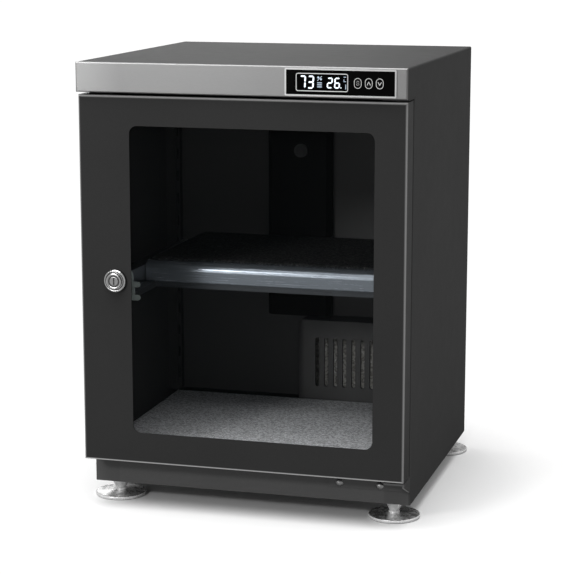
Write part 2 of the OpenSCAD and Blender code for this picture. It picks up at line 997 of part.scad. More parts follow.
module lock_plug() {
    color(silver_c)
        place()
            difference() {
                union() {
                    rod_y(lock_x, lock_z, lock_y0 + plug_recess,
                        lock_y0 + plug_recess + plug_face_t - pin_clear,
                        plug_face_r);
                    rod_y(lock_x, lock_z, lock_y0 + plug_recess, cam_hub_y, plug_r);
                }
                slab(lock_x - key_slot_w / 2, lock_x + key_slot_w / 2, lock_y0,
                    lock_y0 + plug_recess + key_slot_d,
                    lock_z - key_slot_h / 2, lock_z + key_slot_h / 2);
            }
}

// the cranked cam hangs down from the plug and ends in a forked hook
module lock_cam() {
    color([0.62, 0.66, 0.62])
        place() {
            rod_y(lock_x, lock_z, cam_hub_y, cam_hub_y + cam_t, cam_hub_r);
            translate([lock_x, 0, lock_z])
                along_x(-cam_w / 2, cam_w / 2)
                    polygon([[cam_hub_y, -cam_crank_z], [cam_hub_y, 0], [cam_hub_y + cam_t, 0],
                        [cam_hub_y + cam_t, -cam_crank_z], [cam_tip_y + cam_t, -2 * cam_crank_z],
                        [cam_tip_y + cam_t, -cam_l], [cam_tip_y, -cam_l], [cam_tip_y, -2 * cam_crank_z]]);
            for (z = [-2 * cam_crank_z - cam_prong_h / 2, -cam_l + cam_prong_h / 2])
                along_y(cam_tip_y, cam_tip_y + cam_t)
                    translate([lock_x, lock_z + z]) {
                        translate([0, -cam_prong_h / 2])
                            square([cam_w / 2 + cam_prong - cam_prong_h / 2, cam_prong_h]);
                        translate([cam_w / 2 + cam_prong - cam_prong_h / 2, 0])
                            circle(r = cam_prong_h / 2);
                    }
            cam_screw();
        }
}

module cam_screw() {
    rod_y(lock_x, lock_z, cam_hub_y + cam_t, cam_hub_y + cam_t + cam_screw_t, cam_screw_r);
}

// shelf
module pilaster(y) {
    difference() {
        slab(pil_x, inner_x, y, y + pil_w, pil_low_z, pil_top_z);
        slab(pil_x + sheet_t, inner_x + cut, y + sheet_t, y + pil_w - sheet_t, pil_low_z - cut,
            pil_top_z + cut);
        for (k = [0 : slot_count - 1])
            slab(pil_x - cut, pil_x + sheet_t + cut, y + pil_w / 2 - slot_w / 2, y + pil_w / 2 + slot_w / 2,
                pil_low_z + slot_edge + k * slot_pitch, pil_low_z + slot_edge + k * slot_pitch + slot_h);
    }
}

module pilasters_right() {
    color(silver_c)
        place() {
            pilaster(pil_front_y);
            pilaster(pil_rear_y);
        }
}

module pilasters_left() {
    mirror([1, 0, 0])
        pilasters_right();
}

module runner() {
    difference() {
        slab(runner_x0, runner_x1, runner_y0, runner_y1, runner_z0, runner_z0 + runner_h);
        slab(runner_x0 + tray_t, runner_x1 - tray_t, runner_y0 - cut, runner_y1 + cut, runner_z0 + tray_t,
            runner_z0 + runner_h - tray_t);
    }
    slab(runner_x0 - ledge_w, runner_x0, runner_y0, runner_y1, ledge_z - tray_t, ledge_z);
    slab(runner_x0 - ledge_w, runner_x0 - ledge_w + tray_t, runner_y0, runner_y1, runner_z0,
        ledge_z - tray_t);
    for (y = [pil_front_y + pil_w / 2, pil_rear_y + pil_w / 2]) {
        slab(runner_x1, pil_x + sheet_t + seat_gap + hook_tooth, y - hook_t / 2, y + hook_t / 2,
            hook_z, hook_z + hook_h);
        slab(pil_x + sheet_t + seat_gap, pil_x + sheet_t + seat_gap + hook_tooth, y - hook_t / 2,
            y + hook_t / 2,
            hook_z - hook_drop, hook_z);
    }
}

module shelf_frame() {
    color([0.3, 0.32, 0.35])
        place() {
            runner();
            mirror([1, 0, 0])
                runner();
            for (y = [lip_y + bar_back, runner_y1 - bar_w])
                slab(ledge_w - runner_x0, runner_x0 - ledge_w, y, y + bar_w, runner_z0, ledge_z);
        }
}

// side view of the tray: rolled lip, deck, rear edge
module tray_side() {
    difference() {
        union() {
            translate([lip_y + lip_r, tray_low_z])
                square([lip_d_tray - lip_r, lip_h]);
            translate([lip_y, tray_low_z + tray_t])
                square([lip_d_tray, lip_h - lip_r - tray_t]);
            translate([lip_y + tray_t, tray_low_z])
                square([lip_d_tray - tray_t, lip_h - lip_r]);
            translate([lip_y + lip_r, tray_top_z - lip_r])
                circle(r = lip_r);
            translate([lip_y + tray_t, tray_low_z + tray_t])
                circle(r = tray_t);
        }
        translate([lip_y + tray_t, tray_low_z + tray_t])
            square([lip_d_tray, lip_h - lip_r - tray_t]);
        translate([lip_y + lip_r, tray_low_z + tray_t])
            square([lip_d_tray, lip_h - 2 * tray_t]);
        translate([lip_y + lip_r, tray_top_z - lip_r])
            circle(r = lip_r - tray_t);
    }
    translate([lip_y + lip_d_tray - cut, tray_top_z - tray_t])
        square([tray_back_y - lip_y - lip_d_tray + cut, tray_t]);
    translate([tray_back_y - tray_t, tray_top_z - tray_rib_h])
        square([tray_t, tray_rib_h]);
}

module shelf_tray() {
    color(lip_c)
        place() {
            along_x(-tray_x, tray_x)
                tray_side();
            for (s = [-1, 1])
                slab(s * (tray_x - tray_t / 2) - tray_t / 2, s * (tray_x - tray_t / 2) + tray_t / 2,
                    lip_y + lip_d_tray, tray_back_y, tray_low_z, tray_top_z);
        }
}

module shelf_mat() {
    color(foam_c)
        place()
            slab(mat_edge - tray_x, tray_x - mat_edge, lip_y + lip_d_tray, tray_back_y - mat_edge,
                tray_top_z, tray_top_z + shelf_mat_t);
}

module floor_mat() {
    color(foam_c)
        place()
            slab(mat_edge - inner_x, inner_x - mat_edge, face_y + lip_d + mat_edge, dryer_y0 - mat_edge,
                floor_top, floor_top + floor_mat_t);
}

// drying unit and duct
module duct_cover() {
    color(paint_c)
        place()
            difference() {
                along_z(dryer_z1, roof_z - sheet_t - duct_top_in)
                    polygon([[duct_x - duct_w / 2, back_in_y],
                        [duct_x - duct_w / 2, back_in_y - duct_d + duct_chamfer],
                        [duct_x - duct_w / 2 + duct_chamfer, back_in_y - duct_d],
                        [duct_x + duct_w / 2 - duct_chamfer, back_in_y - duct_d],
                        [duct_x + duct_w / 2, back_in_y - duct_d + duct_chamfer],
                        [duct_x + duct_w / 2, back_in_y]]);
                along_z(dryer_z1 - cut, roof_z - sheet_t - duct_top_in - duct_wall)
                    polygon([[duct_x - duct_w / 2 + duct_wall, back_in_y + cut],
                        [duct_x - duct_w / 2 + duct_wall, back_in_y - duct_d + duct_chamfer],
                        [duct_x - duct_w / 2 + duct_chamfer, back_in_y - duct_d + duct_wall],
                        [duct_x + duct_w / 2 - duct_chamfer, back_in_y - duct_d + duct_wall],
                        [duct_x + duct_w / 2 - duct_wall, back_in_y - duct_d + duct_chamfer],
                        [duct_x + duct_w / 2 - duct_wall, back_in_y + cut]]);
            }
}

module sensor_cap() {
    color(silver_c)
        place()
            difference() {
                rod_y(sensor_x, open_top_z - sensor_drop + sensor_slot_r, back_in_y - duct_d - sensor_t,
                    back_in_y - duct_d, sensor_r);
                for (k = [-2 : 2])
                    slab(sensor_x + 2 * k * sensor_slot_w - sensor_slot_w / 2,
                        sensor_x + 2 * k * sensor_slot_w + sensor_slot_w / 2,
                        back_in_y - duct_d - sensor_t - cut, back_in_y - duct_d - sensor_t / 2,
                        open_top_z - sensor_drop, open_top_z - sensor_drop + 2 * sensor_slot_r);
            }
}

module vent_slots(shift) {
    for (k = [0 : vent_count - 1])
        translate([dryer_x - vent_span / 2 + vent_w / 2 + k * vent_pitch + shift, dryer_z])
            round_rect(vent_w, vent_h, vent_w / 2 - pin_clear);
}

module dryer_block(grow_in) {
    intersection() {
        along_z(dryer_z0, dryer_z1 - grow_in)
            translate([dryer_x, dryer_y0 + grow_in])
                front_round(dryer_w - 2 * grow_in, dryer_d, dryer_r - grow_in);
        along_y(dryer_y0, back_in_y + dryer_d)
            translate([dryer_x, dryer_z1 - grow_in])
                mirror([0, 1])
                    front_round(dryer_w - 2 * grow_in, dryer_h - 2 * grow_in, dryer_r - grow_in);
    }
}

// the two grooves that a shutter slides in: y0 is the wall's face, to points into the housing
module shutter_guides(y0, to) {
    mid = shutter_h / 2 + seat_gap + guide_t / 2;
    deep = guide_d + guide_lip_t;
    for (s = [-1, 1]) {
        slab(dryer_x - shutter_w / 2, dryer_x + shutter_w / 2, min(y0, y0 + to * deep), max(y0,
            y0 + to * deep),
            dryer_z + s * mid - guide_t / 2, dryer_z + s * mid + guide_t / 2);
        slab(dryer_x - shutter_w / 2, dryer_x + shutter_w / 2, min(y0 + to * guide_d, y0 + to * deep),
            max(y0 + to * guide_d, y0 + to * deep), dryer_z + s * (mid - guide_lip_h / 2) - guide_lip_h / 2,
            dryer_z + s * (mid - guide_lip_h / 2) + guide_lip_h / 2);
    }
}

module dryer_housing() {
    color([0.5, 0.52, 0.54])
        place() {
            difference() {
                intersection() {
                    dryer_block(0);
                    slab(dryer_x0, dryer_x1, dryer_y0, back_in_y, dryer_z0, dryer_z1);
                }
                dryer_block(dryer_wall);
                along_y(dryer_y0 - cut, dryer_y0 + dryer_wall + cut)
                    vent_slots(0);
            }
            shutter_guides(dryer_y0 + dryer_wall, 1);
        }
}

module dryer_core() {
    color([0.85, 0.86, 0.84])
        place() {
            slab(dryer_x0 + port_in, dryer_x1 - port_in, back_in_y - core_d, back_in_y,
                dryer_z0 + port_in / 2, dryer_z1 - port_in);
        }
}

module shutter_plate(y, shift) {
    along_y(y, y + shutter_t)
        difference() {
            translate([dryer_x, dryer_z])
                square([shutter_w, shutter_h], center = true);
            vent_slots(shift);
        }
}

module shutter_in() {
    color(black_c)
        place()
            shutter_plate(dryer_y0 + dryer_wall + seat_gap, 0);
}

module shutter_out() {
    color(black_c)
        place()
            shutter_plate(back_y + rear_cover_d - dryer_wall - seat_gap - shutter_t, shutter_travel);
}

module rear_cover() {
    cover_w = dryer_w - 2 * cover_in;
    cover_h = dryer_h - 2 * cover_in;
    color(black_c)
        place() {
            difference() {
                along_y(back_y, back_y + rear_cover_d)
                    translate([dryer_x, dryer_z])
                        round_rect(cover_w, cover_h, cover_r);
                along_y(back_y - cut, back_y + rear_cover_d - dryer_wall)
                    translate([dryer_x, dryer_z])
                        round_rect(cover_w - 2 * dryer_wall, cover_h - 2 * dryer_wall, cover_r - dryer_wall);
                along_y(back_y + rear_cover_d - dryer_wall - cut, back_y + rear_cover_d + cut)
                    vent_slots(0);
            }
            shutter_guides(back_y + rear_cover_d - dryer_wall, -1);
        }
}

module rear_screws() {
    color(chrome_c)
        place()
            for (sx = [-1, 1])
                for (z = [roof_z + header_h / 2])
                    rod_y(sx * (half_w - rear_flange_w), z, cab_d, cab_d + cover_screw_t, cover_screw_r);
}

module dc_hole() {
    rod_y(dc_in - half_w, roof_z + header_h / 2, cab_d - sheet_t - cut, cab_d + cut, dc_r);
}

module dc_socket() {
    color(black_c)
        place()
            difference() {
                union() {
                    rod_y(dc_in - half_w, roof_z + header_h / 2, cab_d + dc_flange_t - dc_l, cab_d, dc_r);
                    rod_y(dc_in - half_w, roof_z + header_h / 2, cab_d, cab_d + dc_flange_t, dc_flange_r);
                }
                difference() {
                    rod_y(dc_in - half_w, roof_z + header_h / 2, cab_d + dc_flange_t - dc_depth,
                        cab_d + dc_flange_t + cut, dc_bore_r);
                    rod_y(dc_in - half_w, roof_z + header_h / 2, cab_d + dc_flange_t - dc_l,
                        cab_d, dc_pin_r);
                }
            }
}

// feet
module foot_disc(x, y) {
    color(chrome_c)
        place()
            translate([x, y, 0])
                rotate_extrude()
                    polygon(concat([[0, 0]],
                        arc(disc_r - disc_lip_r, disc_lip_r, disc_lip_r, -90, 0),
                        arc(disc_r - disc_lip_r, disc_rim_h - disc_lip_r, disc_lip_r, 0, 90),
                        [[disc_r - 2 * disc_lip_r, disc_rim_h], [nub_r, disc_rim_h + disc_dome_h],
                        [stud_r, disc_rim_h + disc_dome_h], [stud_r, disc_rim_h - disc_lip_r],
                        [0, disc_rim_h - disc_lip_r]]));
}

module foot_stud(x, y) {
    color(chrome_c)
        place()
            translate([x, y, 0])
                rotate_extrude() {
                    translate([0, disc_rim_h - disc_lip_r])
                        square([stud_r - pin_clear, disc_lip_r + disc_dome_h + nub_h]);
                    translate([0, disc_rim_h + disc_dome_h])
                        square([nub_r, nub_h]);
                    polygon([[0, cone_low_z], [cone_low_r, cone_low_z],
                        [cone_top_r, plinth_z - 2 * cone_gap - nub_h],
                        [cone_top_r, plinth_z - cone_gap], [0, plinth_z - cone_gap]]);
                    translate([0, plinth_z - cone_gap])
                        square([stud_r, stud_top_z - plinth_z + cone_gap]);
                }
}

module foot_fl_disc() {
    foot_disc(-foot_x, foot_front_y);
}

module foot_fl_stud() {
    foot_stud(-foot_x, foot_front_y);
}

module foot_fr_disc() {
    foot_disc(foot_x, foot_front_y);
}

module foot_fr_stud() {
    foot_stud(foot_x, foot_front_y);
}

module foot_bl_disc() {
    foot_disc(-foot_x, foot_rear_y);
}

module foot_bl_stud() {
    foot_stud(-foot_x, foot_rear_y);
}

module foot_br_disc() {
    foot_disc(foot_x, foot_rear_y);
}

module foot_br_stud() {
    foot_stud(foot_x, foot_rear_y);
}

side_left();
side_right();
top_rail();
plinth_panel();
floor_pan();
ceiling_pan();
back_panel();
base_pan();
foot_inserts();
header_base();
header_cover();
fascia();
display_bezel();
display_panel();
lcd_module();
control_board();
key_set();
key_up();
key_down();
hinge_lower();
hinge_upper();
hinge_screws();
door_skin();
door_glass();
glass_clips();
door_gasket();
door_bushes();
lock_barrel();
lock_nut();
lock_plug();
lock_cam();
pilasters_left();
pilasters_right();
shelf_frame();
shelf_tray();
shelf_mat();
floor_mat();
duct_cover();
sensor_cap();
dryer_housing();
dryer_core();
shutter_in();
shutter_out();
rear_cover();
rear_screws();
dc_socket();
foot_fl_disc();
foot_fl_stud();
foot_fr_disc();
foot_fr_stud();
foot_bl_disc();
foot_bl_stud();
foot_br_disc();
foot_br_stud();
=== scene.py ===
import json
import math

import bmesh
import bpy
from mathutils import Matrix, Vector, noise

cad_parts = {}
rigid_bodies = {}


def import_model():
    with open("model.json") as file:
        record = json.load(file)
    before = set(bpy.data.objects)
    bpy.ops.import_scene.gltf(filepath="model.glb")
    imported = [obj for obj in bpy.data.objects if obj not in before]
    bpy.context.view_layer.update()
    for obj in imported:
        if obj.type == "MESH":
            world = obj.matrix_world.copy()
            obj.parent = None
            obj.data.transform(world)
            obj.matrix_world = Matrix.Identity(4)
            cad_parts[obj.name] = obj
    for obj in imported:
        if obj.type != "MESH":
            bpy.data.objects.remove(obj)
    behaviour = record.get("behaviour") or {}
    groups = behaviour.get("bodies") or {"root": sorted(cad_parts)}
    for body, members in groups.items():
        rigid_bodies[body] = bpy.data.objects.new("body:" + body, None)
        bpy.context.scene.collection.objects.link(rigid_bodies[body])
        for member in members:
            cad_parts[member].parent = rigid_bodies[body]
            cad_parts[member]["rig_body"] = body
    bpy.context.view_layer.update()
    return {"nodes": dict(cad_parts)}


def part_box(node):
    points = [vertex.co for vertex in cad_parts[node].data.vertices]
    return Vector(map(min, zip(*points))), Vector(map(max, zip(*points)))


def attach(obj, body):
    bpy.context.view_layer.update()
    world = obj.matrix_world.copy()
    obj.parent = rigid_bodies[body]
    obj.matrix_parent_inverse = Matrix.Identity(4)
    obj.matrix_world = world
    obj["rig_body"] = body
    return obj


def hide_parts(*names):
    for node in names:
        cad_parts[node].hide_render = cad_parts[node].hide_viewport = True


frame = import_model()
scene = bpy.context.scene

MM = 0.001
X, Y, Z = range(3)

# camera in the row frame: metres, radians and pixels of the photograph; the sensor is in millimetres
CAM_PLACE = (0.53915, -1.91777, 0.58457)
CAM_YAW = 0.27595
CAM_PITCH = 0.18831
CAM_FOCAL_PX = 1922.97
LONG_SIDE_PX = 574
SENSOR = 36.0
CLIP_NEAR, CLIP_FAR = 0.05, 60.0

# surround: the world's light, the white behind the object, and a round floor with its fades, in metres
WORLD_FILL = 0.38
WORLD_BACK = 1.05
FLOOR_R = 0.75
FLOOR_STEPS = 96
FLOOR_SEEN = 0.88
FLOOR_BOUNCE = 0.22
FLOOR_FADE = (0.24, 0.42)
FLOOR_EDGE = (FLOOR_R * 0.7, FLOOR_R * 0.98)

# lights: the sun's direction, spread in degrees and strength; each box's place, target, size and watts
SUN_TOWARD = (-0.1, -0.25, 1.0)
SUN_SPREAD = 55.0
SUN_POWER = 3.1
LIGHT_BOXES = {
    "key_box": ((-0.95, -2.2, 1.2), (0.0, 0.0, 0.25), (0.5, 0.3), 13.0),
    "front_box": ((-0.85, -2.3, 0.42), (0.0, 0.0, 0.25), (0.8, 0.22), 3.2),
    "back_card": ((-0.85, 2.0, 0.95), (-0.1, 0.1, 0.45), (1.0, 0.6), 4.6),
    "right_box": ((1.6, 0.3, 1.9), (0.17, 0.1, 0.4), (0.7, 0.7), 7.0),
}


# helpers

def triple(value):
    """Three numbers: the value itself, or one number for all three channels or axes."""
    return tuple(value) if hasattr(value, "__len__") else (value,) * 3


def mm(values):
    """Millimetres as metres."""
    return tuple(v * MM for v in values)


def add_piece(name, mesh, mat, body, smooth=False):
    """Shows a mesh as a piece of one material that rides on a body."""
    for face in mesh.polygons:
        face.use_smooth = smooth
    mesh.materials.append(mat)
    obj = bpy.data.objects.new(name, mesh)
    scene.collection.objects.link(obj)
    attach(obj, body)
    return obj


def listed_mesh(name, verts, faces):
    """A mesh from its corners and from faces that name them by number."""
    mesh = bpy.data.meshes.new(name)
    mesh.from_pydata(verts, [], faces)
    mesh.validate()
    mesh.update()
    return mesh


def write_outward(bm, mesh):
    """Turns the faces of a bmesh outwards and moves it into a mesh."""
    bmesh.ops.recalc_face_normals(bm, faces=bm.faces)
    bm.to_mesh(mesh)
    bm.free()


# materials

MIDDLE = (0.3, 0.7)  # where most values of a noise lie
RISE, FALL = (0.0, 1.0), (1.0, 0.0)
WHITE = (1.0, 1.0, 1.0)
COAT_ROUGH = 0.05


class Mat:
    """A node material: its tree, a Principled shader, and short calls for the nodes that it uses."""

    def __init__(self, name, rough, metal=0.0, specular=0.5, coat=0.0):
        self.mat = bpy.data.materials.new(name)
        self.mat.use_nodes = True
        self.nodes = self.mat.node_tree.nodes
        self.links = self.mat.node_tree.links
        self.nodes.clear()
        out = self.nodes.new("ShaderNodeOutputMaterial")
        self.bsdf = self.nodes.new("ShaderNodeBsdfPrincipled")
        self.links.new(self.bsdf.outputs[0], out.inputs[0])
        self.coords = self.nodes.new("ShaderNodeTexCoord").outputs
        for key, value in (("Roughness", rough), ("Metallic", metal), ("Specular IOR Level", specular),
                           ("Coat Weight", coat), ("Coat Roughness", COAT_ROUGH)):
            self.set(key, value)

    def put(self, value, socket):
        """Links a node's output to an input, or sets a constant on it; one number is a grey for a colour."""
        if isinstance(value, bpy.types.NodeSocket):
            self.links.new(value, socket)
        elif socket.type == "RGBA":
            socket.default_value = (*triple(value), 1.0)
        else:
            socket.default_value = value

    def set(self, key, value):
        """Puts a value on the Principled shader."""
        self.put(value, self.bsdf.inputs[key])

    def node(self, kind, values):
        """A new node with values on its named inputs."""
        n = self.nodes.new("ShaderNode" + kind)
        for key, value in values.items():
            self.put(value, n.inputs[key])
        return n

    def mapped(self, scale=1.0, shift=0.0):
        """The object's own coordinates, scaled and shifted."""
        values = {"Vector": self.coords["Object"], "Location": triple(shift), "Scale": triple(scale)}
        return self.node("Mapping", values).outputs[0]

    def noise(self, scale, detail=3.0, rough=0.55):
        """Cloudy noise; a higher scale is finer, and can differ on each axis."""
        values = {"Vector": self.mapped(scale), "Scale": 1.0, "Detail": detail, "Roughness": rough}
        return self.node("TexNoise", values).outputs["Fac"]

    def cells(self, scale):
        """The outputs of a cell pattern: a random colour for each cell, and the distance from its middle."""
        return self.node("TexVoronoi", {"Vector": self.mapped(scale), "Scale": 1.0}).outputs

    def ramp(self, fac, stops):
        """A colour ramp through stops, each a place from 0 to 1 and a tone or colour."""
        n = self.node("ValToRGB", {"Fac": fac})
        elements = n.color_ramp.elements
        while len(elements) < len(stops):
            elements.new(0.5)
        for e, (at, tone) in zip(elements, stops):
            e.position = at
            e.color = (*triple(tone), 1.0)
        return n.outputs[0]

    def span(self, fac, source=MIDDLE, target=RISE):
        """Maps the range source to the range target and holds it at both ends."""
        values = {"Value": fac, "From Min": source[0], "From Max": source[1], "To Min": target[0],
                  "To Max": target[1]}
        return self.node("MapRange", values).outputs[0]

    def mix(self, fac, a, b):
        """A colour that goes from a to b."""
        n = self.nodes.new("ShaderNodeMix")
        n.data_type = "RGBA"
        for socket, value in ((n.inputs[0], fac), (n.inputs[6], a), (n.inputs[7], b)):
            self.put(value, socket)
        return n.outputs[2]

    def axis_of(self, vector, axis):
        """One of the three numbers of a vector or colour."""
        return self.node("SeparateXYZ", {"Vector": vector}).outputs[axis]

    def facing(self, axis):
        """How far the surface faces along an axis, from -1 to 1."""
        return self.axis_of(self.coords["Normal"], axis)

    def math(self, kind, *values):
        n = self.nodes.new("ShaderNodeMath")
        n.operation = kind
        for socket, value in zip(n.inputs, values):
            self.put(value, socket)
        return n.outputs[0]

    def bump(self, height, strength, distance):
        n = self.node("Bump", {"Strength": strength, "Distance": distance, "Height": height})
        self.set("Normal", n.outputs[0])


def tinted(tone, tint):
    """A tone with the colour of a tint."""
    return tuple(tone * t for t in tint)


def paint(name, tone, rim, rough=0.45, grain=0.5, specular=0.28, front=None, low_rim_highlight=None, top_rim_highlight=None):
    """Powder-coated sheet: fine orange peel, slow tone changes and a painted highlight on rounded front
    edges.

    rim is the tone of that painted highlight on front edges that turn to a side, low_rim_highlight and
    top_rim_highlight that of those that turn down and up, and front the paler painted-light tone of a flat
    front.
    """
    spread, peel_tone, peel_share, peel_strength, peel_depth = 0.06, 1.6, 0.35, 0.25, 0.00012
    m = Mat(name, rough, specular=specular)
    clouds = m.noise(9.0, detail=2.0)
    peel = m.noise(1500.0, detail=2.0)
    body = m.mix(m.span(clouds), tone * (1 - spread), tone * (1 + spread))
    body = m.mix(m.span(peel, (0.35, 0.65), (0.0, peel_share)), body, tone * peel_tone)
    # painted highlight: rounded front edges get a paler tone in place of the light that they would catch
    if rim:
        off_front = m.span(m.facing(Y), (-0.98, -0.75))
        before_side = m.span(m.facing(Y), (-0.5, -0.1), FALL)
        if low_rim_highlight:
            rim = m.mix(m.span(m.facing(Z), (-0.4, -0.2), FALL), rim, low_rim_highlight)
            rim = m.mix(m.span(m.facing(Z), (0.2, 0.4)), rim, top_rim_highlight)
        body = m.mix(m.math("MULTIPLY", off_front, before_side), body, rim)
    # painted light: flat front faces get a paler tone than the sides of the same paint
    if front:
        body = m.mix(m.span(m.facing(Y), (-0.99, -0.97), FALL), body, front)
    m.set("Base Color", body)
    m.set("Roughness", m.span(m.noise(60.0), target=(rough - 0.015, rough + 0.02)))
    m.bump(peel, grain * peel_strength, peel_depth)
    return m.mat


def brushed(name, tone, along, rough, metal=1.0, tint=WHITE, grain=0.05, sheen_end=None):
    """Metal with a fine straight brush.

    along is the brush's scale on each axis, and sheen_end the range on x over which a painted sheen at that
    end fades.
    """
    spread, slow_share, sheen_tone, depth = 0.06, 0.25, 1.45, 0.00005
    m = Mat(name, rough, metal=metal)
    lines = m.noise(along, detail=4.0, rough=0.7)
    slow = m.noise((4.0, 4.0, 7.0), detail=1.0)
    low = tinted(tone * (1 - spread), tint)
    high = tuple(min(1.0, t) for t in tinted(tone * (1 + spread), tint))
    body = m.mix(m.span(lines), low, high)
    body = m.mix(m.span(slow, target=(0.0, slow_share)), body, high)
    # painted sheen: the metal is made paler towards one end, in place of a reflection
    if sheen_end:
        place = m.axis_of(m.coords["Object"], X)
        body = m.mix(m.span(place, sheen_end, FALL), body, tone * sheen_tone)
    m.set("Base Color", body)
    m.set("Roughness", m.span(lines, target=(rough - 0.06, rough + 0.08)))
    m.bump(lines, grain, depth)
    return m.mat


def polished(name, tone, rough, metal=1.0, tint=WHITE, wear=0.2, spread=1.0):
    """Plated metal with faint wear and handling marks; spread is how strongly they show."""
    smoother, rougher, strength, depth = 0.4, 0.9, 0.08, 0.00003
    m = Mat(name, rough, metal=metal)
    marks = m.noise(260.0, detail=5.0, rough=0.65)
    clean, worn = tinted(tone, tint), tinted(tone * (1 - wear), tint)
    m.set("Base Color", m.mix(m.span(marks, (0.35, 0.7)), clean, worn))
    rough_range = (rough * (1 - smoother * spread), rough * (1 + rougher * spread))
    m.set("Roughness", m.span(marks, (0.3, 0.75), rough_range))
    m.bump(m.noise(700.0, detail=2.0), strength * spread, depth)
    return m.mat


def ringed_chrome(name, node, radius, shade_profile):
    """Turned chrome round a node's axis: painted reflection in bright rings and dark grooves, with a bump
    that follows them.
    """
    rough, smoother, rougher = 0.16, 0.8, 1.4
    worn_tone, wear, strength, depth = 0.3, 0.35, 0.5, 0.0003
    m = Mat(name, rough, metal=1.0)
    low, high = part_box(node)
    centred = m.mapped(shift=(-(low.x + high.x) / 2, 0.0, -(low.z + high.z) / 2))
    across, up = m.axis_of(centred, X), m.axis_of(centred, Z)
    away = m.math("SQRT", m.math("ADD", m.math("MULTIPLY", across, across), m.math("MULTIPLY", up, up)))
    # painted reflection: the ring tones stand in for the light and dark that a stepped head reflects
    ring_shades = m.ramp(m.math("DIVIDE", away, radius), shade_profile)
    marks = m.span(m.noise(420.0, detail=4.0), (0.35, 0.7), (0.0, wear))
    m.set("Base Color", m.mix(marks, ring_shades, worn_tone))
    m.set("Roughness", m.span(marks, (0.0, wear), (rough * smoother, rough * rougher)))
    m.bump(ring_shades, strength, depth)
    return m.mat


def foot_chrome(name):
    """Plated steel of the feet: clouded tops, and near-white rims and studs that are a painted highlight."""
    rough, smoother, rougher, strength, depth = 0.26, 0.8, 1.3, 0.1, 0.00005
    top_tones, rim_highlight_tone, top_metal, rim_metal = (0.35, 0.95), 1.0, 0.8, 0.15
    m = Mat(name, rough)
    clouds = m.noise(130.0, detail=4.0, rough=0.6)
    top = m.mix(m.span(clouds, (0.36, 0.64)), *top_tones)
    level, rim_to_top = m.math("ABSOLUTE", m.facing(Z)), (0.55, 0.85)
    # painted highlight: faces that stand upright get a near-white, barely metallic tone in place of bright
    # reflections
    m.set("Base Color", m.mix(m.span(level, rim_to_top, FALL), top, rim_highlight_tone))
    m.set("Metallic", m.span(level, rim_to_top, (rim_metal, top_metal)))
    m.set("Roughness", m.span(clouds, target=(rough * smoother, rough * rougher)))
    m.bump(clouds, strength, depth)
    return m.mat


def plastic(name, tone, rough, grain=0.25, scale=1400.0, specular=0.5):
    """Moulded plastic, rubber or print with a fine etched grain."""
    spread, pale_share, rough_spread, least_rough, depth = 0.15, 0.4, 0.07, 0.02, 0.00006
    m = Mat(name, rough, specular=specular)
    fine = m.noise(scale, detail=2.0)
    slow = m.noise(20.0, detail=2.0)
    pale = tone * (1 + spread)
    body = m.mix(m.span(slow), tone * (1 - spread), pale)
    m.set("Base Color", m.mix(m.span(fine, target=(0.0, pale_share)), body, pale))
    m.set("Roughness", m.span(fine, target=(max(least_rough, rough - rough_spread), rough + rough_spread)))
    m.bump(fine, grain, depth)
    return m.mat


def speckled_foam(name, dark, pale, fleck=1.25):
    """Cut foam or beads with pale and dark crumbs; fleck is the tone of the brightest."""
    shade, shade_share, strength, depth = 0.45, 0.75, 0.7, 0.0006
    m = Mat(name, 0.95, specular=0.2)
    crumbs = m.cells(620.0)
    fine = m.noise(900.0, detail=4.0, rough=0.7)
    tones = ((0.0, dark), (0.34, dark), (0.52, pale), (0.9, pale), (1.0, fleck))
    body = m.ramp(m.axis_of(crumbs["Color"], X), tones)
    m.set("Base Color", m.mix(m.span(fine, target=(0.0, shade_share)), body, tinted(shade, pale)))
    m.bump(m.math("ADD", fine, crumbs["Distance"]), strength, depth)
    return m.mat


def clear_glass(name):
    """Window glass: nearly clear, with a faint cool tint and a polished face."""
    dark, pale, rough_range, alpha = (0.010, 0.012, 0.013), (0.014, 0.016, 0.017), (0.02, 0.05), 0.07
    m = Mat(name, 0.03, specular=0.05)
    m.set("Base Color", m.mix(m.span(m.noise(6.0, detail=1.0)), dark, pale))
    m.set("Alpha", alpha)
    m.set("Roughness", m.span(m.noise(40.0), target=rough_range))
    m.mat.blend_method = "BLEND"
    return m.mat


def lit(name, tone, strength):
    """Readout segments: they give off light, slightly uneven."""
    dimmest = 0.88
    m = Mat(name, 0.4)
    glow = m.mix(m.span(m.noise(500.0, detail=2.0)), tinted(dimmest, tone), tone)
    m.set("Base Color", glow)
    m.set("Emission Color", glow)
    m.set("Emission Strength", strength)
    return m.mat


def circuit_board(name):
    """Circuit board: green resist over faint tracks."""
    resist, track, strength, depth = (0.01, 0.09, 0.04), (0.02, 0.16, 0.07), 0.2, 0.00005
    m = Mat(name, 0.35, coat=0.3)
    tracks = m.noise((300.0, 300.0, 900.0), detail=1.0)
    m.set("Base Color", m.mix(m.span(tracks, (0.48, 0.52)), resist, track))
    m.bump(tracks, strength, depth)
    return m.mat


LOCK_R = 11.5 * MM
# tones of the painted reflection rings on the lock's face
LOCK_RING_SHADES = (  # part of the radius, tone
    (0.0, 0.62), (0.34, 0.7), (0.41, 0.1), (0.50, 0.14), (0.56, 0.85), (0.69, 0.9), (0.74, 0.08),
    (0.81, 0.12), (0.87, 0.85), (0.96, 0.8), (1.0, 0.25),
)
FASCIA_BRUSH = (220.0, 220.0, 2600.0)
SHELF_BRUSH = (30.0, 1500.0, 1500.0)

